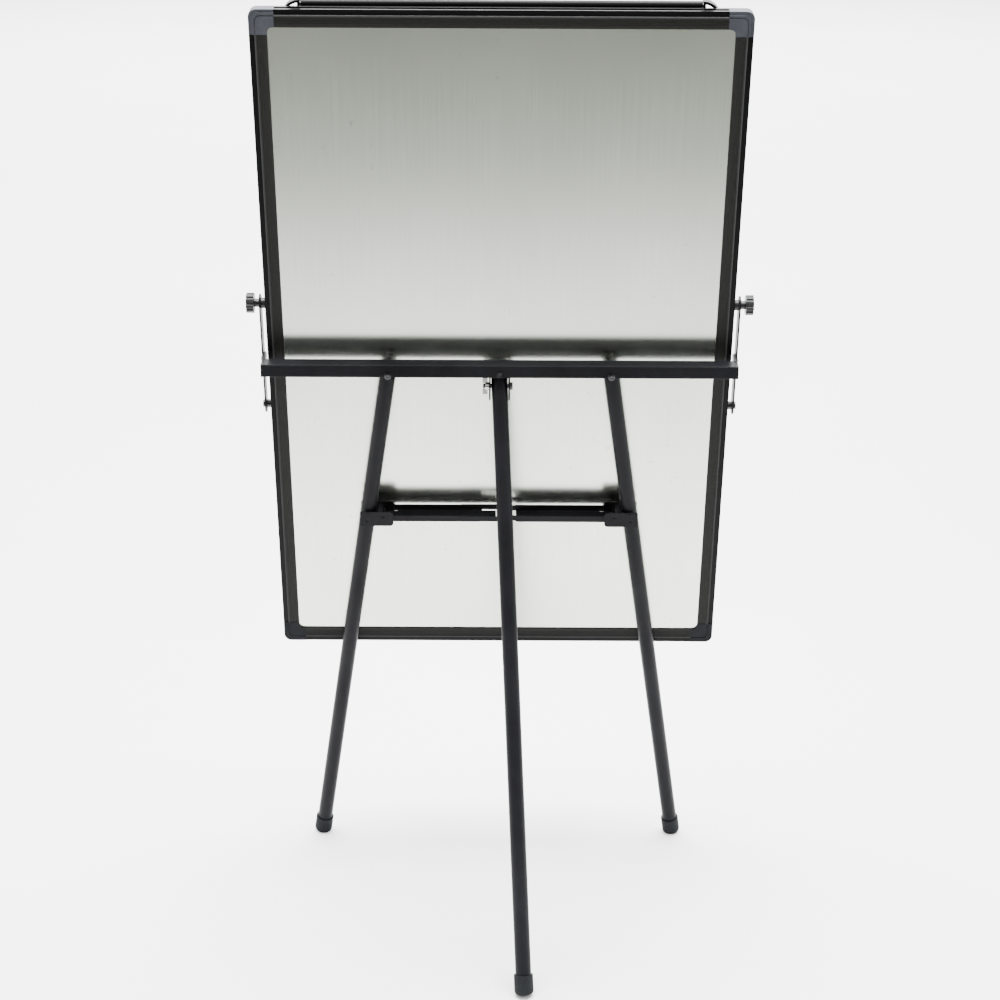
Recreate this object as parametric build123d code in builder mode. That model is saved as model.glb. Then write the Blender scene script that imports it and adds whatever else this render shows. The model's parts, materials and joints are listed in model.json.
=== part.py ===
"""Tripod flipchart easel: a framed board on a crossbar with three folding legs.

Millimetres, +Z up. The floor is Z = 0, the board faces -Y, and +X is the right
side as seen by someone standing in front of the board.
"""
from build123d import *
from math import atan2, cos, radians, sin, sqrt
import os

os.makedirs("parts", exist_ok=True)

# ---- driving dimensions ---------------------------------------------------
# Board
BOARD_W = 610.0
BOARD_H = 914.0
BOARD_TILT = 9.4          # degrees back from vertical
FRAME_BAR = 22.0          # width of the frame bars
FRAME_DEPTH = 16.0
PANEL_INSET = 11.0        # how far the panel edge lies inside the outer edge
PANEL_BACK = 2.4          # depth of the panel's rear face below the frame's
SHEET_T = 0.5
PANEL_T = 11.6
CORNER = 31.0             # leg length of the plastic corner pieces
SLOT_MOUTH = 6.4          # side slot that the board is clamped by
SLOT_WIDE = 10.4
SLOT_LIP = 2.0
SLOT_DEEP = 7.0

# Crossbar and its place in the world
Y_SHIFT = -43.9           # centres the footprint on the origin
BAR_Y = -15.6 + Y_SHIFT
BAR_BOTTOM = 767.0
BAR_H = 16.5
BAR_DEPTH = 28.0
BAR_LEN = 620.0
BAR_T = 1.3
FLANGE_T = 2.0
BOARD_Y = -118.5 + Y_SHIFT   # lower rear edge of the board
BOARD_Z = 336.5

# Side arms that grip the board
ARM_T = 2.0
ARM_W = 20.0
ARM_GAP = 0.5             # crossbar end to arm
ARM_PIVOT_S = 445.0       # places along the board, from its lower edge
KNOB_S = 525.0
STUD_S = 378.0
ARM_END = 12.0

# Legs
TUBE_R = 10.5
TUBE_T = 1.5
PIVOT_Z = 771.5
SIDE_PIVOT_X = 145.3
SIDE_FOOT = (262.8, -167.4 + Y_SHIFT)
REAR_PIVOT_Z = 752.0
REAR_FOOT = (-36.0, 257.7 + Y_SHIFT)
FOOT_R = 12.75
FOOT_LEN = 26.0
FOOT_WALL = 3.0
SOLE_R = 5.0              # rounded edge of the sole
SOLE_FLAT = 1.0           # depth of the flat worn on the sole where it stands

# Brace between the side legs
BRACE_T = 220.0           # below the leg pivots, measured along the leg plane
BRACE_HALF = 157.0        # half length, pivot to centre
BRACE_NEAR = 12.7         # outer faces of the channel, behind and before the leg plane
BRACE_FAR = 16.7
BRACE_H = 9.0
BRACE_SHEET = 1.2
BRACE_GAP = 22.0          # channel end to centre
CLIP_W = 29.0             # over the two plates of a leg clip
CLIP_H = 22.0
CLIP_SHEET = 1.5

FIT = 0.1                 # radial clearance of a running pin

# ---- derived places -------------------------------------------------------
tilt = radians(BOARD_TILT)
half_w = BOARD_W / 2
# Board plane: X to the right, Y up the board, Z out of its front.
board_plane = Plane(
    origin=(0, BOARD_Y, BOARD_Z), x_dir=(1, 0, 0), z_dir=(0, -cos(tilt), sin(tilt))
)
lean = atan2(BAR_Y - SIDE_FOOT[1], PIVOT_Z)
# Leg plane: X to the right, Y down the legs, Z to the rear.
leg_plane = Plane(
    origin=(0, BAR_Y, PIVOT_Z), x_dir=(1, 0, 0), z_dir=(0, cos(lean), -sin(lean))
)
leg_drop = PIVOT_Z / cos(lean)
MID_DEPTH = FRAME_DEPTH / 2


def board_point(x, s, v):
    """World point at x across, s up the board and v in front of its rear face."""
    return board_plane.from_local_coords(Vector(x, s, v))


def leg_point(x, t, n):
    """World point at x across, t down the leg plane and n behind it."""
    return leg_plane.from_local_coords(Vector(x, t, n))


def save(part, name):
    part.label = name
    export_step(part, f"parts/{name}.step")


# ---- board panel ----------------------------------------------------------
panel_w = BOARD_W - 2 * PANEL_INSET
panel_h = BOARD_H - 2 * PANEL_INSET
board_mid = (0, BOARD_H / 2)


def panel_layer(depth, thickness, name):
    with BuildPart() as layer:
        with BuildSketch(board_plane.offset(depth)):
            with Locations(board_mid):
                Rectangle(panel_w, panel_h)
        extrude(amount=thickness)
    save(layer.part, name)


panel_layer(PANEL_BACK, SHEET_T, "back_sheet")
panel_layer(PANEL_BACK + SHEET_T, PANEL_T - 2 * SHEET_T, "board_core")
panel_layer(PANEL_BACK + PANEL_T - SHEET_T, SHEET_T, "whiteboard_surface")

# ---- frame bars -----------------------------------------------------------
STEP_W = 7.0              # lowered outer band of the rear face
STEP_D = 1.6
RIDGE_W = 2.4
STRIP_D = 0.6
RIB_PITCH = 2.0
RIB_D = 0.35
RIB_COUNT = 4


def frame_profile():
    """Bar section: X from the outer edge inwards, Y from the rear face forwards."""
    with BuildSketch() as profile:
        with BuildLine():
            Polyline(
                (0, STEP_D),
                (STEP_W, STEP_D),
                (STEP_W, 0),
                (STEP_W + RIDGE_W, 0),
                (STEP_W + RIDGE_W, STRIP_D),
                (FRAME_BAR, STRIP_D),
                (FRAME_BAR, PANEL_BACK),
                (PANEL_INSET, PANEL_BACK),
                (PANEL_INSET, PANEL_BACK + PANEL_T),
                (FRAME_BAR, PANEL_BACK + PANEL_T),
                (FRAME_BAR, FRAME_DEPTH),
                (0, FRAME_DEPTH),
                close=True,
            )
        make_face()
        # T slot in the outer face
        with Locations((SLOT_LIP / 2, MID_DEPTH)):
            Rectangle(SLOT_LIP, SLOT_MOUTH, mode=Mode.SUBTRACT)
        with Locations(((SLOT_LIP + SLOT_DEEP) / 2, MID_DEPTH)):
            Rectangle(SLOT_DEEP - SLOT_LIP, SLOT_WIDE, mode=Mode.SUBTRACT)
        # fine lengthwise grooves on the rear strip
        first = STEP_W + RIDGE_W + RIB_PITCH
        with Locations(*[(first + i * RIB_PITCH, STRIP_D) for i in range(RIB_COUNT)]):
            Rectangle(0.6, 2 * RIB_D, mode=Mode.SUBTRACT)
    return profile.sketch


def frame_bar(origin, inward, run, length, name):
    """Extrude the section along run, with its X axis pointing inwards."""
    start = Plane(origin=origin, x_dir=inward, z_dir=run)
    forward = board_plane.z_dir
    section = frame_profile()
    if start.y_dir.dot(forward) < 0:
        section = mirror(section, about=Plane.XZ)
    with BuildPart() as bar:
        with BuildSketch(start):
            add(section)
        extrude(amount=length)
    save(bar.part, name)


right = Vector(1, 0, 0)
up = board_plane.y_dir
side_len = BOARD_H - 2 * CORNER
cross_len = BOARD_W - 2 * CORNER
frame_bar(board_point(-half_w, CORNER, 0), right, up, side_len, "frame_left")
frame_bar(board_point(half_w, CORNER, 0), -right, up, side_len, "frame_right")
frame_bar(board_point(CORNER - half_w, 0, 0), up, right, cross_len, "frame_bottom")
frame_bar(board_point(CORNER - half_w, BOARD_H, 0), -up, right, cross_len, "frame_top")

# ---- corner pieces --------------------------------------------------------
CORNER_OUTER_R = 10.0
CORNER_INNER_R = 7.0
RIM = 4.0                 # lowered band around the corner's rear face
RIM_D = 1.0
RIM_R = 8.0
GROOVE = 7.0
GROOVE_W = 1.2
GROOVE_D = 0.8


def corner_piece(sx, top, name):
    """One corner, sx = -1 left or 1 right, made in the corner's own square."""
    x0 = sx * half_w
    s0 = BOARD_H if top else 0
    ds = -1 if top else 1
    bar = FRAME_BAR

    def spot(u, w):
        return (x0 - sx * u, s0 + ds * w)

    outer_mid = CORNER_OUTER_R * (1 - sqrt(0.5))
    inner_mid = bar + CORNER_INNER_R * (1 - sqrt(0.5))
    with BuildPart() as piece:
        with BuildSketch(board_plane):
            with BuildLine():
                Line(spot(CORNER, 0), spot(CORNER_OUTER_R, 0))
                ThreePointArc(
                    spot(CORNER_OUTER_R, 0), spot(outer_mid, outer_mid), spot(0, CORNER_OUTER_R)
                )
                Polyline(
                    spot(0, CORNER_OUTER_R),
                    spot(0, CORNER),
                    spot(bar, CORNER),
                    spot(bar, bar + CORNER_INNER_R),
                )
                ThreePointArc(
                    spot(bar, bar + CORNER_INNER_R),
                    spot(inner_mid, inner_mid),
                    spot(bar + CORNER_INNER_R, bar),
                )
                Polyline(spot(bar + CORNER_INNER_R, bar), spot(CORNER, bar), spot(CORNER, 0))
            make_face()
        extrude(amount=FRAME_DEPTH)
        # pocket for the panel corner
        pocket = CORNER - PANEL_INSET
        with BuildSketch(board_plane.offset(PANEL_BACK)):
            with Locations(spot(PANEL_INSET + pocket / 2, PANEL_INSET + pocket / 2)):
                Rectangle(pocket, pocket)
        extrude(amount=PANEL_T, mode=Mode.SUBTRACT)
        # lowered outer band, then a fine groove, both round at the corner
        with BuildSketch(board_plane):
            with Locations(spot(CORNER / 2, CORNER / 2)):
                Rectangle(CORNER, CORNER)
            with Locations(spot(RIM + CORNER, RIM + CORNER)):
                RectangleRounded(2 * CORNER, 2 * CORNER, RIM_R, mode=Mode.SUBTRACT)
        extrude(amount=RIM_D, mode=Mode.SUBTRACT)
        groove_in = GROOVE + GROOVE_W
        with BuildSketch(board_plane):
            with Locations(spot(GROOVE + CORNER, GROOVE + CORNER)):
                RectangleRounded(2 * CORNER, 2 * CORNER, RIM_R)
            with Locations(spot(groove_in + CORNER, groove_in + CORNER)):
                RectangleRounded(2 * CORNER, 2 * CORNER, RIM_R - GROOVE_W, mode=Mode.SUBTRACT)
        extrude(amount=GROOVE_D, mode=Mode.SUBTRACT)
    save(piece.part, name)


corner_piece(-1, True, "corner_top_left")
corner_piece(1, True, "corner_top_right")
corner_piece(-1, False, "corner_bottom_left")
corner_piece(1, False, "corner_bottom_right")

# ---- pen tray on the front of the lower bar -------------------------------
TRAY_LEN = 420.0
TRAY_OUT = 48.0
TRAY_T = 1.6
TRAY_LIP = 9.0
TRAY_BACK = 17.0
TRAY_S = 3.0              # height of the tray floor above the board's lower edge
CAP_T = 3.0

with BuildPart() as pen_tray:
    with BuildSketch(Plane(origin=board_point(-TRAY_LEN / 2, TRAY_S, FRAME_DEPTH),
                           x_dir=board_plane.z_dir, z_dir=(1, 0, 0))):
        with BuildLine():
            Polyline(
                (0, 0),
                (TRAY_OUT, 0),
                (TRAY_OUT, -TRAY_LIP),
                (TRAY_OUT - TRAY_T, -TRAY_LIP),
                (TRAY_OUT - TRAY_T, -TRAY_T),
                (TRAY_T, -TRAY_T),
                (TRAY_T, -TRAY_BACK),
                (0, -TRAY_BACK),
                close=True,
            )
        make_face()
    extrude(amount=TRAY_LEN)
save(pen_tray.part, "pen_tray")


def tray_cap(x, name):
    with BuildPart() as cap:
        with BuildSketch(Plane(origin=board_point(x, TRAY_S, FRAME_DEPTH),
                               x_dir=board_plane.z_dir, z_dir=(1, 0, 0))):
            with BuildLine():
                Polyline(
                    (0, 0),
                    (TRAY_OUT, 0),
                    (TRAY_OUT, -TRAY_LIP),
                    (TRAY_T, -TRAY_BACK),
                    (0, -TRAY_BACK),
                    close=True,
                )
            make_face()
        extrude(amount=CAP_T)
    save(cap.part, name)


tray_cap(-TRAY_LEN / 2 - CAP_T, "tray_cap_left")
tray_cap(TRAY_LEN / 2, "tray_cap_right")

# ---- pad clamp on the front of the upper bar ------------------------------
CLAMP_LEN = 486.0
CLAMP_H = 34.0
CLAMP_T = 2.0
CLAMP_HINGE_V = FRAME_DEPTH + 9.0
CLAMP_HINGE_S = BOARD_H + 0.5
CLAMP_BARREL_R = 5.0
CLAMP_PIN_R = 2.5
CLAMP_FIT = 0.2           # loose bore of the rolled barrel
BRACKET_T = 3.0
BRACKET_X = CLAMP_LEN / 2 + 0.6
LUG_R = 22.0              # curved lug beside each clamp end
LUG_T = 3.4
LUG_TOP = 7.0             # above the hinge
LUG_FRONT = 4.0           # in front of the hinge
GRIP_T = 4.0
GRIP_H = 12.0
STRIP_GAP = 0.5           # grip strip to whiteboard frame

clamp_axis = board_point(0, CLAMP_HINGE_S, CLAMP_HINGE_V)


def clamp_plane(x):
    """Section plane at x: X out of the front, Y down the board, from the hinge."""
    return Plane(
        origin=(x, clamp_axis.Y, clamp_axis.Z), x_dir=board_plane.z_dir, z_dir=(1, 0, 0)
    )


jaw_back = -CLAMP_HINGE_V + FRAME_DEPTH + STRIP_GAP + GRIP_T
with BuildPart() as clamp_bar:
    with BuildSketch(clamp_plane(-CLAMP_LEN / 2)):
        Circle(CLAMP_BARREL_R)
        with BuildLine():
            Polyline(
                (-CLAMP_BARREL_R + 0.5, 0),
                (CLAMP_BARREL_R, 0),
                (CLAMP_BARREL_R, CLAMP_H - 8),
                (CLAMP_BARREL_R - 3, CLAMP_H),
                (jaw_back, CLAMP_H),
                (jaw_back, CLAMP_H - 14),
                (CLAMP_BARREL_R - CLAMP_T, CLAMP_H - 14),
                (CLAMP_BARREL_R - CLAMP_T, 6),
                close=True,
            )
        make_face()
        Circle(CLAMP_PIN_R + CLAMP_FIT, mode=Mode.SUBTRACT)
    extrude(amount=CLAMP_LEN)
save(clamp_bar.part, "clamp_bar")

with BuildPart() as clamp_grip:
    with BuildSketch(clamp_plane(-CLAMP_LEN / 2 + 4)):
        with Locations((jaw_back - GRIP_T / 2, CLAMP_H - 1 - GRIP_H / 2)):
            Rectangle(GRIP_T, GRIP_H)
    extrude(amount=CLAMP_LEN - 8)
save(clamp_grip.part, "clamp_grip_strip")


def clamp_bracket(x, side, name):
    """Cheek plate on the upper bar's front that holds the pin, with a curved lug outside."""
    lug_mid = (side * BRACKET_X, CLAMP_HINGE_S + LUG_TOP - LUG_R)
    with BuildPart() as bracket:
        with BuildSketch(clamp_plane(x)):
            Circle(CLAMP_BARREL_R + 0.5)
            with Locations(((FRAME_DEPTH - CLAMP_HINGE_V) / 2, 6)):
                Rectangle(CLAMP_HINGE_V - FRAME_DEPTH, 18)
            Circle(CLAMP_PIN_R, mode=Mode.SUBTRACT)
        extrude(amount=BRACKET_T)
        with BuildSketch(board_plane.offset(FRAME_DEPTH)):
            with Locations(lug_mid):
                Circle(LUG_R)
                Circle(LUG_R - LUG_T, mode=Mode.SUBTRACT)
            with Locations((lug_mid[0] + side * LUG_R / 2, lug_mid[1] + LUG_R / 2)):
                Rectangle(LUG_R, LUG_R, mode=Mode.INTERSECT)
        extrude(amount=CLAMP_HINGE_V + LUG_FRONT - FRAME_DEPTH)
    save(bracket.part, name)


clamp_bracket(-BRACKET_X - BRACKET_T, -1, "clamp_bracket_left")
clamp_bracket(BRACKET_X, 1, "clamp_bracket_right")

PIN_LEN = 26.0
with BuildPart() as clamp_pins:
    for start_x in (-BRACKET_X - BRACKET_T, BRACKET_X + BRACKET_T - PIN_LEN):
        with BuildSketch(clamp_plane(start_x)):
            Circle(CLAMP_PIN_R)
        extrude(amount=PIN_LEN)
save(clamp_pins.part, "clamp_pins")

# ---- crossbar -------------------------------------------------------------
bar_end = BAR_LEN / 2
SCREW_R = 2.5
REAR_BOLT_R = 3.0
bar_mid_z = BAR_BOTTOM + BAR_H / 2
tilt_pivot = board_point(0, ARM_PIVOT_S, MID_DEPTH)

with BuildPart() as crossbar:
    with BuildSketch(Plane(origin=(-bar_end + FLANGE_T, BAR_Y, BAR_BOTTOM),
                           x_dir=(0, 1, 0), z_dir=(1, 0, 0))):
        with Locations((0, BAR_H / 2)):
            RectangleRounded(BAR_DEPTH, BAR_H, 1.2)
        with Locations((0, (BAR_H - BAR_T) / 2 - 1)):
            Rectangle(BAR_DEPTH - 2 * BAR_T, BAR_H - BAR_T + 2, mode=Mode.SUBTRACT)
    extrude(amount=BAR_LEN - 2 * FLANGE_T)
    for side in (-1, 1):
        with BuildSketch(leg_plane.offset(-BAR_DEPTH)):
            with Locations((side * SIDE_PIVOT_X, 0)):
                Circle(SCREW_R)
        extrude(amount=2 * BAR_DEPTH, mode=Mode.SUBTRACT)
    with BuildSketch(Plane.XZ.offset(-BAR_Y - BAR_DEPTH)):
        with Locations((0, PIVOT_Z)):
            Circle(SCREW_R)
    extrude(amount=BAR_DEPTH, mode=Mode.SUBTRACT)
save(crossbar.part, "crossbar")

FLANGE_R = 9.0
TILT_BOLT_R = 3.0


def end_flange(x, name):
    """Plate that closes the crossbar's end and reaches forward to the tilt pivot."""
    dy = tilt_pivot.Y - BAR_Y
    dz = tilt_pivot.Z - bar_mid_z
    with BuildPart() as flange:
        with BuildSketch(Plane(origin=(x, BAR_Y, bar_mid_z), x_dir=(0, 1, 0), z_dir=(1, 0, 0))):
            with BuildLine():
                Polyline(
                    (BAR_DEPTH / 2, BAR_H / 2),
                    (dy, dz + FLANGE_R),
                    (dy, dz - FLANGE_R),
                    (BAR_DEPTH / 2, -BAR_H / 2),
                    close=True,
                )
            make_face()
            with Locations((dy, dz)):
                Circle(FLANGE_R)
                Circle(TILT_BOLT_R, mode=Mode.SUBTRACT)
        extrude(amount=FLANGE_T)
    save(flange.part, name)


end_flange(-bar_end, "crossbar_end_left")
end_flange(bar_end - FLANGE_T, "crossbar_end_right")

# ---- tilting side arms ----------------------------------------------------
arm_inner = bar_end + ARM_GAP
arm_outer = arm_inner + ARM_T
arm_low = STUD_S - ARM_END
arm_high = KNOB_S + ARM_END


def arm_plane(x):
    """Plane with normal +X at x, its X axis up the board, at the board's mid depth."""
    foot = board_point(0, 0, MID_DEPTH)
    return Plane(origin=(x, foot.Y, foot.Z), x_dir=up, z_dir=(1, 0, 0))


def side_arm(x, name):
    with BuildPart() as arm:
        with BuildSketch(arm_plane(x)):
            with Locations(((arm_low + arm_high) / 2, 0)):
                SlotOverall(arm_high - arm_low, ARM_W)
            with Locations((KNOB_S, 0), (STUD_S, 0), (ARM_PIVOT_S, 0)):
                Circle(TILT_BOLT_R + FIT, mode=Mode.SUBTRACT)
        extrude(amount=ARM_T)
    save(arm.part, name)


side_arm(-arm_outer, "side_arm_left")
side_arm(arm_inner, "side_arm_right")


def x_cylinder(start, length, radius, centre_s, bore=0.0):
    """Add to the open part a cylinder along +X from start, centre_s up the board."""
    with BuildSketch(arm_plane(start)) as disc:
        with Locations((centre_s, 0)):
            Circle(radius)
            if bore > 0:
                Circle(bore, mode=Mode.SUBTRACT)
    extrude(disc.sketch, amount=length)


NUT_T = 4.4
NUT_W = 9.8
slot_nut_x = half_w - SLOT_LIP - 0.3 - NUT_T
STUD_R = 2.9
HEAD_T = 3.0

# Lower guide studs: a T head in the slot, a collar against the arm, a domed nut outside.
with BuildPart() as guide_studs:
    for side in (-1, 1):
        head_x = slot_nut_x if side > 0 else -slot_nut_x - NUT_T
        with BuildSketch(arm_plane(head_x)):
            with Locations((STUD_S, 0)):
                Rectangle(14, NUT_W)
        extrude(amount=NUT_T)
        shank = arm_outer + HEAD_T - slot_nut_x - NUT_T
        shank_x = slot_nut_x + NUT_T if side > 0 else -arm_outer - HEAD_T
        x_cylinder(shank_x, shank, STUD_R, STUD_S)
        collar = arm_inner - half_w - 0.4
        collar_x = half_w + 0.4 if side > 0 else -arm_inner
        x_cylinder(collar_x, collar, 5.5, STUD_S)
        nut_x = arm_outer if side > 0 else -arm_outer - HEAD_T
        x_cylinder(nut_x, HEAD_T, 5.0, STUD_S)
save(guide_studs.part, "guide_studs")

# Slot nuts that the clamp knobs screw into.
with BuildPart() as slot_nuts:
    for side in (-1, 1):
        head_x = slot_nut_x if side > 0 else -slot_nut_x - NUT_T
        with BuildSketch(arm_plane(head_x)):
            with Locations((KNOB_S, 0)):
                Rectangle(18, NUT_W)
                Circle(STUD_R + FIT, mode=Mode.SUBTRACT)
        extrude(amount=NUT_T)
save(slot_nuts.part, "slot_nuts")

with BuildPart() as spacer_washers:
    for side in (-1, 1):
        spacer = arm_inner - half_w - 0.4
        spacer_x = half_w + 0.4 if side > 0 else -arm_inner
        x_cylinder(spacer_x, spacer, 7.0, KNOB_S, bore=STUD_R + FIT)
save(spacer_washers.part, "spacer_washers")

# ---- clamp knobs ----------------------------------------------------------
KNOB_R = 13.0
KNOB_T = 10.0
KNOB_NECK_R = 5.5
KNOB_NECK = 6.4
KNOB_CLEAR = 0.3
LOBES = 10
SCALLOP_R = 2.6


def knob(side, name):
    """Knurled head on a neck, with its threaded stud as a separate piece."""
    neck_x = arm_outer + KNOB_CLEAR
    head_x = neck_x + KNOB_NECK
    with BuildPart() as head:
        x_cylinder(neck_x if side > 0 else -head_x, KNOB_NECK, KNOB_NECK_R, KNOB_S, bore=STUD_R)
        start = head_x if side > 0 else -head_x - KNOB_T
        with BuildSketch(arm_plane(start)):
            with Locations((KNOB_S, 0)):
                Circle(KNOB_R)
                Circle(STUD_R, mode=Mode.SUBTRACT)
                with PolarLocations(KNOB_R + 0.8, LOBES):
                    Circle(SCALLOP_R, mode=Mode.SUBTRACT)
        extrude(amount=KNOB_T)
    save(head.part, name)
    stud_in = slot_nut_x + 0.5
    stud_len = head_x + KNOB_T - 1 - stud_in
    with BuildPart() as stud:
        x_cylinder(stud_in if side > 0 else -stud_in - stud_len, stud_len, STUD_R, KNOB_S)
    save(stud.part, name.replace("clamp_knob", "knob_stud"))


knob(-1, "clamp_knob_left")
knob(1, "clamp_knob_right")

# ---- tilt pivots ----------------------------------------------------------
with BuildPart() as tilt_bolts:
    for side in (-1, 1):
        inside = bar_end - FLANGE_T
        shank = arm_outer - inside + 0.2
        x_cylinder(inside if side > 0 else -inside - shank, shank, TILT_BOLT_R, ARM_PIVOT_S)
        cap_x = inside + shank
        x_cylinder(cap_x if side > 0 else -cap_x - 1.8, 1.8, 5.5, ARM_PIVOT_S)
save(tilt_bolts.part, "tilt_bolts")

# ---- legs -----------------------------------------------------------------
TUBE_TOP = 5.5            # side tubes start this far below their pivot
PLUG_HEAD_R = 8.5
PLUG_UP = 6.0
PLUG_IN = 20.0


def foot_centre(x, y, direction):
    """Middle of the sole, at the height where the tilted cap stands on its flat."""
    upright = abs(direction.Z)
    rise = (FOOT_R - SOLE_R) * sqrt(1 - upright ** 2) + SOLE_R * (1 - upright)
    return Vector(x, y, rise - SOLE_FLAT)


def leg_cylinder(top, direction, start, end, radius, inner=0.0, mode=Mode.ADD):
    """Cylinder or tube about the leg's axis, between two distances from its top."""
    with BuildSketch(Plane(origin=top + direction * start, z_dir=direction)) as ring:
        Circle(radius)
        if inner > 0:
            Circle(inner, mode=Mode.SUBTRACT)
    extrude(ring.sketch, amount=end - start, mode=mode)


def cross_bore(plane, x, y, radius, reach):
    """Round hole through the open part, along the plane's normal."""
    with BuildSketch(plane.offset(-reach)) as hole:
        with Locations((x, y)):
            Circle(radius)
    extrude(hole.sketch, amount=2 * reach, mode=Mode.SUBTRACT)


def foot_cap(top, direction, length, name):
    """Rubber cap: a cup over the tube's end with a rounded sole."""
    cup = length - FOOT_LEN
    with BuildPart() as cap:
        leg_cylinder(top, direction, cup, length, FOOT_R)
        sole = cap.edges().sort_by(Axis.Z)[0]
        fillet(sole, SOLE_R)
        leg_cylinder(top, direction, cup, length - FOOT_WALL - 2, TUBE_R, mode=Mode.SUBTRACT)
        floor_spot = top + direction * length
        with Locations((floor_spot.X, floor_spot.Y, -FOOT_LEN / 2)):
            Box(4 * FOOT_R, 4 * FOOT_R, FOOT_LEN, mode=Mode.SUBTRACT)
    save(cap.part, name)


side_hole_t = (BRACE_T - 6.5, BRACE_T + 6.5)
leg_slope = (SIDE_FOOT[0] - SIDE_PIVOT_X) / leg_drop
RIVET_R = 2.0


def side_leg(side, word):
    top = leg_point(side * SIDE_PIVOT_X, 0, 0)
    sole = leg_point(side * SIDE_FOOT[0], leg_drop, 0)
    direction = (sole - top).normalized()
    sole = foot_centre(sole.X, sole.Y, direction)
    direction = (sole - top).normalized()
    length = (sole - top).length
    tube_end = length - FOOT_WALL - 2
    with BuildPart() as tube:
        leg_cylinder(top, direction, TUBE_TOP, tube_end, TUBE_R, TUBE_R - TUBE_T)
        for t in side_hole_t:
            cross_bore(leg_plane, side * (SIDE_PIVOT_X + leg_slope * t), t, RIVET_R, 20)
    save(tube.part, f"side_leg_{word}")
    with BuildPart() as plug:
        leg_cylinder(top, direction, TUBE_TOP, TUBE_TOP + PLUG_IN, TUBE_R - TUBE_T)
        leg_cylinder(top, direction, -PLUG_UP, TUBE_TOP, PLUG_HEAD_R)
        cross_bore(leg_plane, side * SIDE_PIVOT_X, 0, SCREW_R + FIT, 20)
    save(plug.part, f"leg_plug_{word}")
    foot_cap(top, direction, length, f"foot_{word}")


side_leg(-1, "left")
side_leg(1, "right")

# Leg pivot screws stand square to the leg plane, on bevel washers.
HEAD_R = 3.6
HEAD_H = 2.2
DRIVE_LEN = 4.6           # cross recess
DRIVE_W = 1.0
DRIVE_DEPTH = 0.8
NUT_H = 3.2
NUT_R = HEAD_R + 0.4
SCREW_OUT = 3.5           # screw end past its seat
WASHER_R = 4.6
seat = (BAR_DEPTH / 2 + WASHER_R * sin(lean)) / cos(lean) + 0.2
with BuildPart() as leg_pivot_screws:
    for side in (-1, 1):
        with BuildSketch(leg_plane.offset(-seat - SCREW_OUT)):
            with Locations((side * SIDE_PIVOT_X, 0)):
                Circle(SCREW_R)
        extrude(amount=2 * seat + SCREW_OUT)
        with BuildSketch(leg_plane.offset(seat)):
            with Locations((side * SIDE_PIVOT_X, 0)):
                Circle(HEAD_R)
        extrude(amount=HEAD_H)
    for side in (-1, 1):
        with BuildSketch(leg_plane.offset(seat + HEAD_H - DRIVE_DEPTH)):
            with Locations((side * SIDE_PIVOT_X, 0)):
                Rectangle(DRIVE_LEN, DRIVE_W)
                Rectangle(DRIVE_W, DRIVE_LEN)
        extrude(amount=DRIVE_DEPTH, mode=Mode.SUBTRACT)
save(leg_pivot_screws.part, "leg_pivot_screws")

with BuildPart() as leg_pivot_nuts:
    for side in (-1, 1):
        with BuildSketch(leg_plane.offset(-seat - NUT_H)):
            with Locations((side * SIDE_PIVOT_X, 0)):
                RegularPolygon(NUT_R, 6)
                Circle(SCREW_R, mode=Mode.SUBTRACT)
        extrude(amount=NUT_H)
save(leg_pivot_nuts.part, "leg_pivot_nuts")

with BuildPart() as bevel_washers:
    for side in (-1, 1):
        with BuildSketch(leg_plane.offset(-seat)):
            with Locations((side * SIDE_PIVOT_X, 0)):
                Circle(WASHER_R)
                Circle(SCREW_R, mode=Mode.SUBTRACT)
        extrude(amount=2 * seat)
    with Locations((0, BAR_Y, PIVOT_Z)):
        Box(BAR_LEN, BAR_DEPTH, 4 * BAR_H, mode=Mode.SUBTRACT)
save(bevel_washers.part, "bevel_washers")

# ---- leg clips and brace --------------------------------------------------
clip_x = SIDE_PIVOT_X + leg_slope * BRACE_T
pivot_x = BRACE_HALF
CLIP_IN = 14.0            # clip plates reach this far past the brace pivot
CLIP_OUT = 10.0
CLIP_HEAD_R = 2.8         # rivet and pin heads
CLIP_HEAD = 0.9
web_x = clip_x - TUBE_R - 1.8


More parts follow.
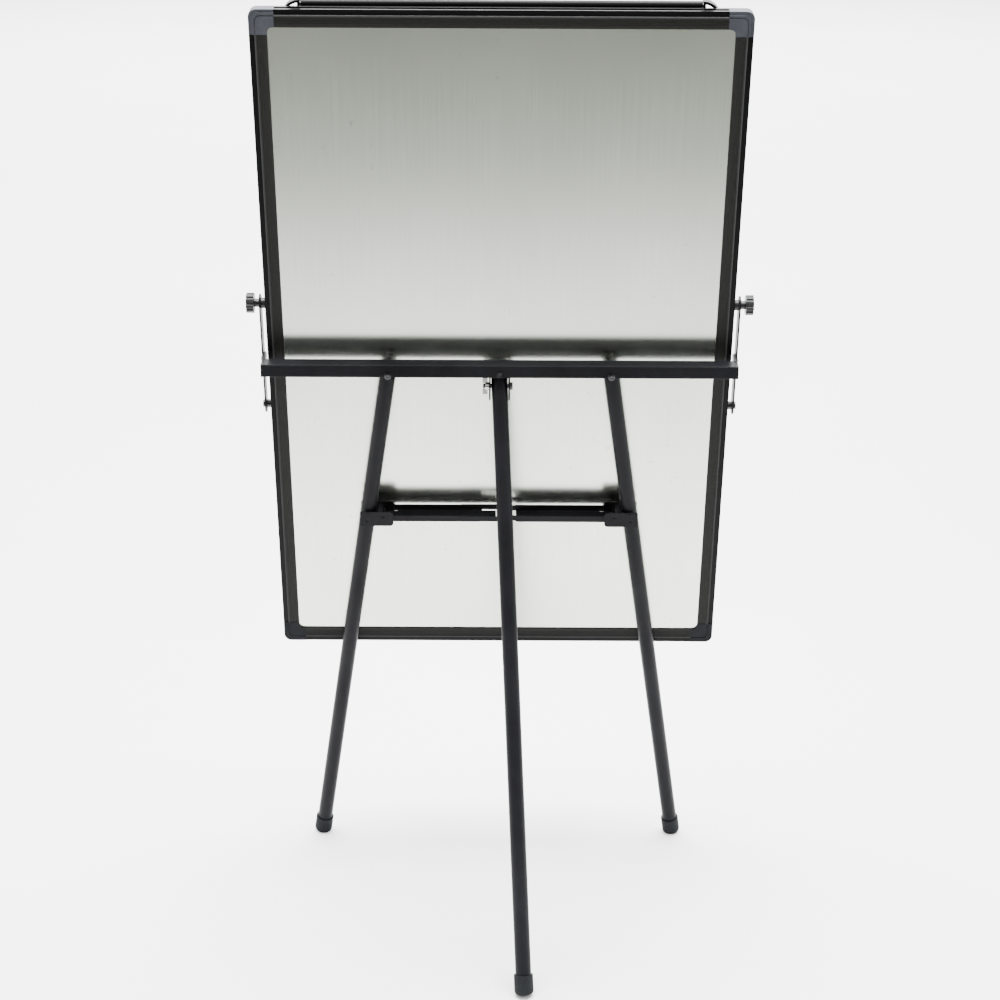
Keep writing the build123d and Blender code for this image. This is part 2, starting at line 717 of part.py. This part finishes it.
def leg_clip(side, word):
    """Two plates that flank the leg, joined by a web on its inner side."""
    inner = pivot_x - CLIP_IN
    outer = clip_x + CLIP_OUT
    with BuildPart() as clip:
        for n in (-CLIP_W / 2, CLIP_W / 2 - CLIP_SHEET):
            with BuildSketch(leg_plane.offset(n)) as plate:
                with Locations((side * (inner + outer) / 2, BRACE_T)):
                    Rectangle(outer - inner, CLIP_H)
                lower_inner = plate.vertices().sort_by(
                    lambda v: side * leg_plane.to_local_coords(v.center()).X
                )[:2]
                fillet(lower_inner, 5.0)
            extrude(amount=CLIP_SHEET)
        with BuildSketch(leg_plane.offset(-CLIP_W / 2)):
            with Locations((side * (web_x - CLIP_SHEET / 2), BRACE_T)):
                Rectangle(CLIP_SHEET, CLIP_H)
        extrude(amount=CLIP_W)
        cross_bore(leg_plane, side * pivot_x, BRACE_T, RIVET_R, 20)
        for t in side_hole_t:
            cross_bore(leg_plane, side * (SIDE_PIVOT_X + leg_slope * t), t, RIVET_R, 20)
    save(clip.part, f"leg_clip_{word}")
    with BuildPart() as rivets:
        for t in side_hole_t:
            spot = (side * (SIDE_PIVOT_X + leg_slope * t), t)
            with BuildSketch(leg_plane.offset(-CLIP_W / 2)):
                with Locations(spot):
                    Circle(RIVET_R)
            extrude(amount=CLIP_W)
            for n in (-CLIP_W / 2 - CLIP_HEAD, CLIP_W / 2):
                with BuildSketch(leg_plane.offset(n)):
                    with Locations(spot):
                        Circle(CLIP_HEAD_R)
                extrude(amount=CLIP_HEAD)
    save(rivets.part, f"clip_rivets_{word}")
    with BuildPart() as pin:
        with BuildSketch(leg_plane.offset(-BRACE_FAR)):
            with Locations((side * pivot_x, BRACE_T)):
                Circle(RIVET_R)
        extrude(amount=BRACE_FAR + CLIP_W / 2)
        for n in (-BRACE_FAR - CLIP_HEAD, CLIP_W / 2):
            with BuildSketch(leg_plane.offset(n)):
                with Locations((side * pivot_x, BRACE_T)):
                    Circle(CLIP_HEAD_R)
            extrude(amount=CLIP_HEAD)
    save(pin.part, f"brace_pin_{word}")


CHANNEL_BACK = 2.0        # channel end past its pivot, towards the leg
STRAP_H = BRACE_H - BRACE_SHEET
STRAP_T = 1.2
STRAP_REACH = 30.0        # strap length along its own channel
CLIP_SWING = 18.4         # reach of the clip plate about the brace pivot
SLOT_CLEAR = 0.3
TONGUE_GAP = 4.0          # end of the right floor's tongue to the centre
TONGUE_SIDE = 0.3         # tongue edge to the left half's straps


def brace_half(side, word):
    """Channel open upwards, with its centre end cut back from the middle."""
    outer = pivot_x + CHANNEL_BACK
    inner = BRACE_GAP
    low = BRACE_T + BRACE_H / 2
    high = BRACE_T - BRACE_H / 2
    with BuildPart() as channel:
        with BuildSketch(leg_plane.offset(-BRACE_FAR)) as wall:
            with Locations((side * (inner + outer) / 2, BRACE_T)):
                Rectangle(outer - inner, BRACE_H)
            top_corners = wall.vertices().sort_by(
                lambda v: leg_plane.to_local_coords(v.center()).Y
            )[:2]
            fillet(top_corners, 4.0)
        extrude(amount=BRACE_NEAR + BRACE_FAR)
        with BuildSketch(leg_plane.offset(BRACE_SHEET - BRACE_FAR)):
            with Locations((side * (inner + outer) / 2, (high + low - BRACE_SHEET) / 2 - 1)):
                Rectangle(outer - inner + 2, low - high - BRACE_SHEET + 2)
        extrude(amount=BRACE_NEAR + BRACE_FAR - 2 * BRACE_SHEET, mode=Mode.SUBTRACT)
        # slot in the floor for the clip's far plate, long enough for the whole swing
        slot_end = pivot_x - CLIP_SWING
        with BuildSketch(leg_plane.offset(-CLIP_W / 2 - SLOT_CLEAR)):
            with Locations((side * (slot_end + outer) / 2, low)):
                Rectangle(outer - slot_end + 1, 4 * BRACE_SHEET)
        extrude(amount=CLIP_SHEET + 2 * SLOT_CLEAR, mode=Mode.SUBTRACT)
        if side > 0:
            edge = BRACE_SHEET + STRAP_T + TONGUE_SIDE
            with BuildSketch(leg_plane.offset(edge - BRACE_FAR)):
                with Locations(((TONGUE_GAP + inner) / 2 + 1, low - BRACE_SHEET / 2)):
                    Rectangle(inner - TONGUE_GAP + 2, BRACE_SHEET)
            extrude(amount=BRACE_NEAR + BRACE_FAR - 2 * edge)
        cross_bore(leg_plane, side * pivot_x, BRACE_T, RIVET_R + FIT, 20)
    save(channel.part, f"brace_channel_{word}")
    # hinge straps: welded outside the right channel and inside the left one,
    # so that the two halves pass each other, with their eyes on the centre line
    if side > 0:
        layers = (BRACE_NEAR, -BRACE_FAR - STRAP_T)
    else:
        layers = (BRACE_NEAR - BRACE_SHEET - STRAP_T, BRACE_SHEET - BRACE_FAR)
    root = BRACE_GAP + STRAP_REACH
    floor_t = low - BRACE_SHEET
    with BuildPart() as strap:
        for start in layers:
            with BuildSketch(leg_plane.offset(start)):
                with Locations((side * root / 2, floor_t - STRAP_H / 2)):
                    Rectangle(root, STRAP_H)
                with Locations((0, floor_t - STRAP_H / 2)):
                    Circle(STRAP_H / 2)
                    Circle(RIVET_R, mode=Mode.SUBTRACT)
            extrude(amount=STRAP_T)
    save(strap.part, f"hinge_strap_{word}")


for side_sign, side_word in ((-1, "left"), (1, "right")):
    leg_clip(side_sign, side_word)
    brace_half(side_sign, side_word)

# ---- rear leg and its bracket ---------------------------------------------
EAR_IN = 11.7
EAR_T = 2.0
EAR_W = 19.0
EAR_LOW = 742.0            # middle of the rounded lower end
PLATE_H = 10.0
PLATE_Z = BAR_BOTTOM + BAR_T + PLATE_H / 2
rear_top = Vector(0, BAR_Y, REAR_PIVOT_Z)
bracket_back = BAR_Y + BAR_DEPTH / 2 - BAR_T
with BuildPart() as rear_leg_bracket:
    for x in (-EAR_IN - EAR_T, EAR_IN):
        with BuildSketch(Plane(origin=(x, BAR_Y, 0), x_dir=(0, 1, 0), z_dir=(1, 0, 0))):
            with Locations((0, EAR_LOW)):
                Circle(EAR_W / 2)
            with Locations((0, (EAR_LOW + PLATE_Z + PLATE_H / 2) / 2)):
                Rectangle(EAR_W, PLATE_Z + PLATE_H / 2 - EAR_LOW)
            with Locations(((EAR_W / 2 + BAR_DEPTH / 2 - BAR_T) / 2, PLATE_Z)):
                Rectangle(BAR_DEPTH / 2 - BAR_T - EAR_W / 2, PLATE_H)
        extrude(amount=EAR_T)
    with BuildSketch(Plane.XZ.offset(-bracket_back)):
        with Locations((0, PLATE_Z)):
            Rectangle(2 * (EAR_IN + EAR_T), PLATE_H)
    extrude(amount=EAR_T)
    with BuildSketch(Plane.XZ.offset(-bracket_back - 1)):
        with Locations((0, PIVOT_Z)):
            Circle(SCREW_R)
    extrude(amount=4, mode=Mode.SUBTRACT)
    with BuildSketch(Plane(origin=(-20, BAR_Y, REAR_PIVOT_Z), x_dir=(0, 1, 0), z_dir=(1, 0, 0))):
        Circle(REAR_BOLT_R)
    extrude(amount=40, mode=Mode.SUBTRACT)
save(rear_leg_bracket.part, "rear_leg_bracket")

with BuildPart() as bracket_screw:
    with BuildSketch(Plane.XZ.offset(-BAR_Y - BAR_DEPTH / 2)):
        with Locations((0, PIVOT_Z)):
            Circle(SCREW_R)
    extrude(amount=BAR_T + EAR_T)
    with BuildSketch(Plane.XZ.offset(-BAR_Y - BAR_DEPTH / 2 - HEAD_H)):
        with Locations((0, PIVOT_Z)):
            Circle(HEAD_R)
    extrude(amount=HEAD_H)
save(bracket_screw.part, "bracket_screw")

BOLT_OUT = 5.0
ear_face = EAR_IN + EAR_T


def rear_x_plane(x):
    return Plane(origin=(x, BAR_Y, REAR_PIVOT_Z), x_dir=(0, 1, 0), z_dir=(1, 0, 0))


with BuildPart() as rear_pivot_bolt:
    with BuildSketch(rear_x_plane(-ear_face)):
        Circle(REAR_BOLT_R)
    extrude(amount=2 * ear_face + BOLT_OUT + 3)
    with BuildSketch(rear_x_plane(-ear_face - 3.5)):
        RegularPolygon(5.2, 6)
    extrude(amount=3.5)
save(rear_pivot_bolt.part, "rear_pivot_bolt")

WING = 8.0
with BuildPart() as rear_wing_nut:
    with BuildSketch(rear_x_plane(ear_face)):
        Circle(5.0)
        Circle(REAR_BOLT_R, mode=Mode.SUBTRACT)
    extrude(amount=BOLT_OUT)
    for turn in (-1, 1):
        with BuildSketch(rear_x_plane(ear_face + 2)):
            with Locations((0, turn * (3.8 + WING / 2))):
                RectangleRounded(2.0, WING, 0.9)
        extrude(amount=6.5)
save(rear_wing_nut.part, "rear_wing_nut")

rear_sole = Vector(REAR_FOOT[0], REAR_FOOT[1], 0)
rear_dir = (rear_sole - rear_top).normalized()
rear_sole = foot_centre(REAR_FOOT[0], REAR_FOOT[1], rear_dir)
rear_dir = (rear_sole - rear_top).normalized()
rear_len = (rear_sole - rear_top).length
REAR_TUBE_TOP = -9.0
with BuildPart() as rear_leg:
    leg_cylinder(rear_top, rear_dir, REAR_TUBE_TOP, rear_len - FOOT_WALL - 2, TUBE_R, TUBE_R - TUBE_T)
    with BuildSketch(rear_x_plane(-20)):
        Circle(REAR_BOLT_R + FIT)
    extrude(amount=40, mode=Mode.SUBTRACT)
save(rear_leg.part, "rear_leg")

with BuildPart() as rear_leg_plug:
    leg_cylinder(rear_top, rear_dir, REAR_TUBE_TOP, -4.0, TUBE_R - TUBE_T)
    leg_cylinder(rear_top, rear_dir, REAR_TUBE_TOP - 2, REAR_TUBE_TOP, TUBE_R)
save(rear_leg_plug.part, "rear_leg_plug")
foot_cap(rear_top, rear_dir, rear_len, "foot_rear")
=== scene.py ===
import bpy
import json
from math import cos, radians, sin
from mathutils import Matrix, Vector

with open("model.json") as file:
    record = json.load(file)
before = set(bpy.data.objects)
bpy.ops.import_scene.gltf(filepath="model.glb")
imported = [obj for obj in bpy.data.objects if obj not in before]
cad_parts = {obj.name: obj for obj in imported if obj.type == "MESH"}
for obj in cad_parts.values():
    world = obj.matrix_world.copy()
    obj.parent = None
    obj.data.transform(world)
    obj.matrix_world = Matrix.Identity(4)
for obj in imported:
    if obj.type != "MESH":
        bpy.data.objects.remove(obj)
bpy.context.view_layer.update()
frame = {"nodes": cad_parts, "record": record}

# ---- camera ---------------------------------------------------------------
CAM_SPOT = Vector((0.003, 2.438, 1.551))
CAM_PITCH = radians(21.0)     # looking down
CAM_YAW = radians(-0.1)
CAM_ROLL = radians(0.3)
LENS_MM = 72.1
SENSOR_MM = 36.0


def add_camera():
    """Camera behind the easel, looking towards -Y and down."""
    forward = Vector((
        sin(CAM_YAW) * cos(CAM_PITCH),
        -cos(CAM_YAW) * cos(CAM_PITCH),
        -sin(CAM_PITCH),
    ))
    level = Vector((-cos(CAM_YAW), -sin(CAM_YAW), 0))
    upright = level.cross(forward)
    right = level * cos(CAM_ROLL) + upright * sin(CAM_ROLL)
    up = upright * cos(CAM_ROLL) - level * sin(CAM_ROLL)
    data = bpy.data.cameras.new("photo_camera")
    data.lens = LENS_MM
    data.sensor_width = SENSOR_MM
    camera = bpy.data.objects.new("photo_camera", data)
    turn = Matrix((right, up, -forward)).transposed().to_4x4()
    camera.matrix_world = Matrix.Translation(CAM_SPOT) @ turn
    bpy.context.collection.objects.link(camera)
    bpy.context.scene.camera = camera


add_camera()

# ---- the board, as the materials see it -----------------------------------
BOARD_TILT = radians(9.4)
BOARD_FOOT = Vector((0, -0.1624, 0.3365))    # lower rear edge of the board
BOARD_HIGH = 0.914
BOARD_HALF = 0.305
BAND = 0.007              # lowered outer band of the frame bars, coloured dark as painted shade in the groove
RIDGE = 0.0024            # ridge beside it, coloured lighter as a painted highlight
BAR_FACE = 0.03           # width from the outer edge that the bar's tones span
LOW_RAIL = 0.38           # painted shade: frame and corner colours darken from HIGH_RAIL down to LOW_RAIL, standing in for less light low down
HIGH_RAIL = 1.15


def fill_ramp(node, stops):
    """Set a colour ramp; stops are (place, colour) with grey or RGB colours."""
    band = node.color_ramp
    while len(band.elements) < len(stops):
        band.elements.new(0.5)
    for element, (spot, color) in zip(band.elements, stops):
        element.position = spot
        shade = color if isinstance(color, tuple) else (color,) * 3
        element.color = (*shade, 1)


# ---- material helpers -----------------------------------------------------
class Finish:
    """A node material with a Principled shader and short ways to feed it."""

    def __init__(self, name, color, rough, metal=0.0, specular=0.5):
        self.mat = bpy.data.materials.new(name)
        self.mat.use_nodes = True
        self.nodes = self.mat.node_tree.nodes
        self.links = self.mat.node_tree.links
        self.shader = self.nodes["Principled BSDF"]
        self.shader.inputs["Base Color"].default_value = (*color, 1)
        self.shader.inputs["Roughness"].default_value = rough
        self.shader.inputs["Metallic"].default_value = metal
        self.shader.inputs["Specular IOR Level"].default_value = specular
        self.bump = None

    def place(self, scale=(1, 1, 1)):
        """Object coordinates, stretched by scale, as a socket."""
        coords = self.nodes.new("ShaderNodeTexCoord")
        mapping = self.nodes.new("ShaderNodeMapping")
        mapping.inputs["Scale"].default_value = scale
        self.links.new(coords.outputs["Object"], mapping.inputs["Vector"])
        return mapping.outputs["Vector"]

    def axis(self, name):
        """One object coordinate, X, Y or Z, in metres."""
        split = self.nodes.new("ShaderNodeSeparateXYZ")
        self.links.new(self.place(), split.inputs[0])
        return split.outputs[name]

    def noise(self, where, scale, detail=3.0, rough=0.55):
        node = self.nodes.new("ShaderNodeTexNoise")
        node.inputs["Scale"].default_value = scale
        node.inputs["Detail"].default_value = detail
        node.inputs["Roughness"].default_value = rough
        self.links.new(where, node.inputs["Vector"])
        return node.outputs["Fac"]

    def ramp(self, value, stops):
        node = self.nodes.new("ShaderNodeValToRGB")
        fill_ramp(node, stops)
        self.links.new(value, node.inputs["Fac"])
        return node.outputs["Color"]

    def span(self, value, low, high, start=0.0, end=1.0):
        """Map start..end to low..high."""
        node = self.nodes.new("ShaderNodeMapRange")
        node.inputs["From Min"].default_value = start
        node.inputs["From Max"].default_value = end
        node.inputs["To Min"].default_value = low
        node.inputs["To Max"].default_value = high
        self.links.new(value, node.inputs["Value"])
        return node.outputs["Result"]

    def math(self, kind, first, second):
        """Math node over sockets or plain numbers."""
        node = self.nodes.new("ShaderNodeMath")
        node.operation = kind
        for socket, value in zip(node.inputs, (first, second)):
            if isinstance(value, float):
                socket.default_value = value
            else:
                self.links.new(value, socket)
        return node.outputs[0]

    def mix(self, amount, first, second):
        """Blend two colours; amount is a socket or a plain number."""
        node = self.nodes.new("ShaderNodeMix")
        node.data_type = "RGBA"
        if isinstance(amount, float):
            node.inputs[0].default_value = amount
        else:
            self.links.new(amount, node.inputs[0])
        self.links.new(first, node.inputs[6])
        self.links.new(second, node.inputs[7])
        return node.outputs[2]

    def paint_low_shade(self, color, share):
        """Painted shade: fade a colour to a share of itself towards the board's lower rail, standing
        in for dimmer light low down.
        """
        rise = self.span(self.axis("Z"), share, 1.0, LOW_RAIL, HIGH_RAIL)
        node = self.nodes.new("ShaderNodeVectorMath")
        node.operation = "SCALE"
        self.links.new(color, node.inputs[0])
        self.links.new(rise, node.inputs["Scale"])
        return node.outputs[0]

    def feed(self, name, socket):
        self.links.new(socket, self.shader.inputs[name])

    def raise_surface(self, height, strength, distance):
        node = self.nodes.new("ShaderNodeBump")
        node.inputs["Strength"].default_value = strength
        node.inputs["Distance"].default_value = distance
        self.links.new(height, node.inputs["Height"])
        if self.bump:
            self.links.new(self.bump, node.inputs["Normal"])
        self.bump = node.outputs["Normal"]
        self.feed("Normal", self.bump)


def powder_coat():
    """Satin black powder coat: fine orange peel, dust and rubbed spots."""
    finish = Finish("black_powder_coat", (0.006, 0.006, 0.007), 0.34, specular=0.05)
    here = finish.place()
    tones = [(0.3, (0.006, 0.006, 0.007)), (0.75, (0.012, 0.012, 0.0137))]
    finish.feed("Base Color", finish.ramp(finish.noise(here, 9.0, 4.0), tones))
    finish.feed("Roughness", finish.span(finish.noise(here, 70.0, 5.0), 0.28, 0.46))
    finish.raise_surface(finish.noise(here, 1400.0, 2.0), 0.22, 0.00012)
    return finish.mat


def edge_distance(finish):
    """Distance of a point from the board's nearest outer edge, in metres."""
    up = Vector((0, sin(BOARD_TILT), cos(BOARD_TILT)))
    rise = finish.nodes.new("ShaderNodeVectorMath")
    rise.operation = "DOT_PRODUCT"
    finish.links.new(finish.place(), rise.inputs[0])
    rise.inputs[1].default_value = up
    high = finish.math("SUBTRACT", rise.outputs["Value"], up.dot(BOARD_FOOT))
    nearer_end = finish.math("MINIMUM", high, finish.math("SUBTRACT", BOARD_HIGH, high))
    from_middle = finish.math("ABSOLUTE", finish.axis("X"), 0.0)
    across = finish.math("SUBTRACT", BOARD_HALF, from_middle)
    return finish.math("MINIMUM", nearer_end, across)


def extrusion():
    """Black anodised extrusion: painted shade on the lowered outer band, a painted highlight along
    the ridge, a satin dusty strip, and painted shade towards the lower rail.
    """
    finish = Finish("black_extrusion", (0.006, 0.006, 0.006), 0.34, specular=0.07)
    here = finish.place()
    reach = finish.span(edge_distance(finish), 0.0, 1.0, 0.0, BAR_FACE)
    band = BAND / BAR_FACE
    ridge = (BAND + RIDGE) / BAR_FACE
    # Painted light: the outer band is darkened as painted shade in its groove, and the lighter line
    # at the ridge is a painted highlight.
    tone = finish.ramp(reach, [
        (0.0, (0.004, 0.004, 0.004)),
        (band - 0.02, (0.004, 0.004, 0.004)),
        (band, (0.060, 0.060, 0.061)),
        (ridge - 0.03, (0.034, 0.034, 0.035)),
        (ridge, (0.0205, 0.0205, 0.0194)),
        (1.0, (0.018, 0.018, 0.017)),
    ])
    dust = finish.ramp(finish.noise(here, 900.0, 4.0, 0.7), [(0.62, 0.0), (0.75, 0.35)])
    greys = [(0.3, (0.02, 0.02, 0.019)), (0.7, (0.04, 0.04, 0.037))]
    grey = finish.ramp(finish.noise(here, 40.0, 3.0), greys)
    # Painted shade: the bar's colour fades to half towards the lower rail.
    finish.feed("Base Color", finish.paint_low_shade(finish.mix(dust, tone, grey), 0.5))
    finish.feed("Roughness", finish.span(finish.noise(here, 45.0, 5.0), 0.28, 0.42))
    finish.raise_surface(finish.noise(here, 1100.0, 3.0), 0.12, 0.0001)
    return finish.mat


def galvanised():
    """Thin zinc-coated sheet: satin metal with an upright grain and dust marks."""
    finish = Finish("galvanised_sheet", (0.70, 0.71, 0.69), 0.2, metal=1.0)
    here = finish.place()
    grain = finish.noise(finish.place((900, 1, 5)), 1.0, 5.0, 0.6)
    cloud = finish.noise(finish.place((1, 1, 0.6)), 5.0, 5.0)
    specks = finish.noise(here, 240.0, 4.0, 0.75)
    streaks = finish.ramp(grain, [(0.3, (0.540, 0.566, 0.505)), (0.7, (0.690, 0.718, 0.645))])
    clouds = finish.ramp(cloud, [(0.30, (0.555, 0.581, 0.517)), (0.72, (0.695, 0.722, 0.650))])
    dust = finish.ramp(specks, [(0.66, 0.0), (0.76, 0.7)])
    marks = finish.ramp(specks, [(0.0, (0.86, 0.86, 0.85)), (1.0, (0.90, 0.90, 0.89))])
    spots = finish.ramp(finish.noise(here, 95.0, 2.0), [(0.71, 0.0), (0.74, 0.7)])
    soot = finish.ramp(specks, [(0.0, (0.40, 0.41, 0.39)), (1.0, (0.48, 0.49, 0.47))])
    metal = finish.mix(dust, finish.mix(0.5, streaks, clouds), marks)
    finish.feed("Base Color", finish.mix(spots, metal, soot))
    finish.feed("Roughness", finish.span(grain, 0.17, 0.23))
    finish.raise_surface(grain, 0.03, 0.00004)
    finish.raise_surface(finish.noise(finish.place((1, 1, 0.4)), 3.0, 2.0), 0.04, 0.003)
    return finish.mat


def plastic(name, low, high, rough, grain, gloss, share=1.0):
    """Moulded plastic with a fine spark-eroded grain; where share is below 1 it gets painted shade,
    darker low down by share.
    """
    finish = Finish(name, low, rough, specular=gloss)
    here = finish.place()
    tone = finish.ramp(finish.noise(here, 30.0, 4.0), [(0.3, low), (0.75, high)])
    # Painted shade low down, where share is below 1.
    if share < 1:
        tone = finish.paint_low_shade(tone, share)
    finish.feed("Base Color", tone)
    finish.feed("Roughness", finish.span(finish.noise(here, 120.0, 4.0), rough - 0.08, rough + 0.1))
    finish.raise_surface(finish.noise(here, grain, 2.0), 0.3, 0.00015)
    return finish.mat


def zinc():
    """Bright zinc-plated steel, faintly brushed."""
    finish = Finish("zinc_steel", (0.62, 0.62, 0.60), 0.3, metal=1.0)
    here = finish.place()
    tones = [(0.3, (0.45, 0.45, 0.43)), (0.7, (0.70, 0.70, 0.68))]
    finish.feed("Base Color", finish.ramp(finish.noise(here, 60.0, 4.0), tones))
    finish.feed("Roughness", finish.span(finish.noise(here, 300.0, 4.0), 0.22, 0.42))
    finish.raise_surface(finish.noise(here, 900.0, 2.0), 0.15, 0.00008)
    return finish.mat


def enamel():
    """Gloss white writing surface with faint wipe marks."""
    finish = Finish("white_enamel", (0.82, 0.83, 0.84), 0.16)
    here = finish.place()
    wipes = finish.noise(finish.place((1, 1, 6)), 8.0, 5.0)
    tones = [(0.3, (0.80, 0.81, 0.82)), (0.7, (0.85, 0.86, 0.87))]
    finish.feed("Base Color", finish.ramp(finish.noise(here, 3.0, 4.0), tones))
    finish.feed("Roughness", finish.span(wipes, 0.10, 0.26))
    finish.raise_surface(finish.noise(here, 500.0, 2.0), 0.04, 0.0001)
    return finish.mat


def fibre_core():
    """Brown board between the two skins of the panel."""
    finish = Finish("honeycomb_core", (0.5, 0.4, 0.28), 0.8)
    here = finish.place()
    tones = [(0.3, (0.40, 0.31, 0.20)), (0.7, (0.58, 0.47, 0.33))]
    finish.feed("Base Color", finish.ramp(finish.noise(here, 200.0, 5.0), tones))
    finish.raise_surface(finish.noise(here, 700.0, 3.0), 0.4, 0.0003)
    return finish.mat


def black_zinc():
    """Screw heads in black zinc, rubbed a little in places."""
    finish = Finish("black_zinc", (0.008, 0.008, 0.009), 0.3)
    here = finish.place()
    tones = [(0.58, (0.004, 0.004, 0.005)), (0.74, (0.05, 0.05, 0.048))]
    finish.feed("Base Color", finish.ramp(finish.noise(here, 500.0, 4.0), tones))
    finish.feed("Roughness", finish.span(finish.noise(here, 500.0, 3.0), 0.20, 0.36))
    finish.raise_surface(finish.noise(here, 900.0, 2.0), 0.15, 0.00006)
    return finish.mat


SLATE = (0.042, 0.045, 0.053), (0.068, 0.072, 0.083)
BLACK_MOULDED = (0.006, 0.006, 0.007), (0.012, 0.012, 0.013)
RUBBER = (0.0075, 0.0082, 0.0093), (0.012, 0.0133, 0.0152)

finishes = {
    "black_zinc": black_zinc(),
    "black_powder_coat": powder_coat(),
    "black_extrusion": extrusion(),
    "galvanised_sheet": galvanised(),
    # The slate corners get painted shade, fading to 0.16 of their colour at the lower rail.
    "slate_plastic": plastic("slate_plastic", *SLATE, 0.55, 1600.0, 0.06, 0.16),
    "black_plastic": plastic("black_plastic", *BLACK_MOULDED, 0.34, 1600.0, 0.3),
    "black_rubber": plastic("black_rubber", *RUBBER, 0.62, 1200.0, 0.06),
    "zinc_steel": zinc(),
    "white_enamel": enamel(),
    "honeycomb_core": fibre_core(),
}

# ---- dress the CAD nodes --------------------------------------------------
EDGE = 0.0003             # softened metal and plastic edges
EDGE_ANGLE = radians(40)
FLAT_SLOTS = ("galvanised_sheet", "white_enamel", "honeycomb_core")

slots = {row["node"]: row["material_slot"] for row in frame["record"]["subparts"]}
for name, node in frame["nodes"].items():
    node.data.materials.clear()
    node.data.materials.append(finishes[slots[name]])
    if slots[name] not in FLAT_SLOTS:
        soften = node.modifiers.new("soft_edges", "BEVEL")
        soften.width = EDGE
        soften.segments = 2
        soften.limit_method = "ANGLE"
        soften.angle_limit = EDGE_ANGLE
        soften.harden_normals = True

# ---- floor ----------------------------------------------------------------
FLOOR_REACH = 14.0
FLOOR_SHADE_SPAN = (0.4, 2.6)   # painted shade: from the pale floor to the dark grey one, along +Y
FLOOR_SHADE_STEPS = [(0.0, 0.0), (0.20, 0.30), (0.42, 0.55), (0.56, 0.88), (1.0, 1.0)]


def floor_finish():
    """Pale floor round the easel, darkened to grey well behind it by painted shade standing in for
    light falling off.
    """
    finish = Finish("pale_floor", (0.88,) * 3, 0.75, specular=0.15)
    here = finish.place()
    # Painted shade: the floor darkens from pale to dark grey along +Y, standing in for light falling
    # off away from the easel.
    behind = finish.span(finish.axis("Y"), 0.0, 1.0, *FLOOR_SHADE_SPAN)
    pale = finish.ramp(finish.noise(here, 1.5, 3.0), [(0.3, 0.88), (0.7, 0.91)])
    greys = [(0.3, (0.070, 0.073, 0.066)), (0.7, (0.082, 0.085, 0.077))]
    grey = finish.ramp(finish.noise(here, 2.5, 3.0), greys)
    finish.feed("Base Color", finish.mix(finish.ramp(behind, FLOOR_SHADE_STEPS), pale, grey))
    finish.raise_surface(finish.noise(here, 90.0, 3.0), 0.04, 0.001)
    return finish.mat


def add_floor():
    """Large flat floor at height 0, staged so that it isn't part of the object."""
    outline = [(-1, -1), (1, -1), (1, 1), (-1, 1)]
    mesh = bpy.data.meshes.new("floor")
    mesh.from_pydata([(x * FLOOR_REACH, y * FLOOR_REACH, 0) for x, y in outline], [], [(0, 1, 2, 3)])
    plane = bpy.data.objects.new("floor", mesh)
    bpy.context.collection.objects.link(plane)
    mesh.materials.append(floor_finish())


add_floor()

# ---- surroundings and light -----------------------------------------------
SKY_BRIGHT = 3.2
SKY_STOPS = [(0.0, 3.2), (0.22, 2.8), (0.45, 0.45), (1.0, 0.12)]    # from -Y round to +Y
CEILING = 1.6             # light added overhead
CEILING_RISE = (0.30, 0.62)
LAMPS = [                 # name, place, aim, size, watts
    ("overhead", (0.0, 0.0, 3.0), (0, 0, 0), (2.2, 1.1), 400),
    ("background", (0.0, -3.4, 3.2), (0, -3.4, 0), (6.0, 2.5), 420),
    ("far_background", (0.0, -8.0, 4.0), (0, -8.0, 0), (9.0, 4.0), 1400),
    ("side_left", (2.4, 0.9, 1.5), (0, 0, 0.8), (0.5, 1.6), 14),
    ("side_right", (-2.4, 0.9, 1.5), (0, 0, 0.8), (0.5, 1.6), 14),
]


def add_world():
    """Soft surroundings: a bright wall beyond the board, dim ones behind the camera."""
    world = bpy.data.worlds.new("studio")
    world.use_nodes = True
    nodes, links = world.node_tree.nodes, world.node_tree.links
    coords = nodes.new("ShaderNodeTexCoord")
    split = nodes.new("ShaderNodeSeparateXYZ")
    links.new(coords.outputs["Generated"], split.inputs[0])
    place = nodes.new("ShaderNodeMapRange")
    place.inputs["From Min"].default_value = -1.0
    links.new(split.outputs["Y"], place.inputs["Value"])
    ramp = nodes.new("ShaderNodeValToRGB")
    fill_ramp(ramp, [(spot, level / SKY_BRIGHT) for spot, level in SKY_STOPS])
    links.new(place.outputs["Result"], ramp.inputs["Fac"])
    ceiling = nodes.new("ShaderNodeMapRange")
    ceiling.interpolation_type = "SMOOTHSTEP"
    ceiling.inputs["From Min"].default_value = CEILING_RISE[0]
    ceiling.inputs["From Max"].default_value = CEILING_RISE[1]
    ceiling.inputs["To Max"].default_value = CEILING
    links.new(split.outputs["Z"], ceiling.inputs["Value"])
    level = nodes.new("ShaderNodeMath")
    level.operation = "MULTIPLY_ADD"
    level.inputs[1].default_value = SKY_BRIGHT
    links.new(ramp.outputs["Color"], level.inputs[0])
    links.new(ceiling.outputs["Result"], level.inputs[2])
    links.new(level.outputs[0], nodes["Background"].inputs["Strength"])
    nodes["Background"].inputs["Color"].default_value = (1, 1, 1, 1)
    bpy.context.scene.world = world


def soft_box(name, spot, target, size, power):
    data = bpy.data.lights.new(name, "AREA")
    data.shape = "RECTANGLE"
    data.size, data.size_y = size
    data.energy = power
    lamp = bpy.data.objects.new(name, data)
    lamp.location = spot
    lamp.rotation_euler = (Vector(target) - Vector(spot)).to_track_quat("-Z", "Y").to_euler()
    bpy.context.collection.objects.link(lamp)


add_world()
for lamp in LAMPS:
    soft_box(*lamp)
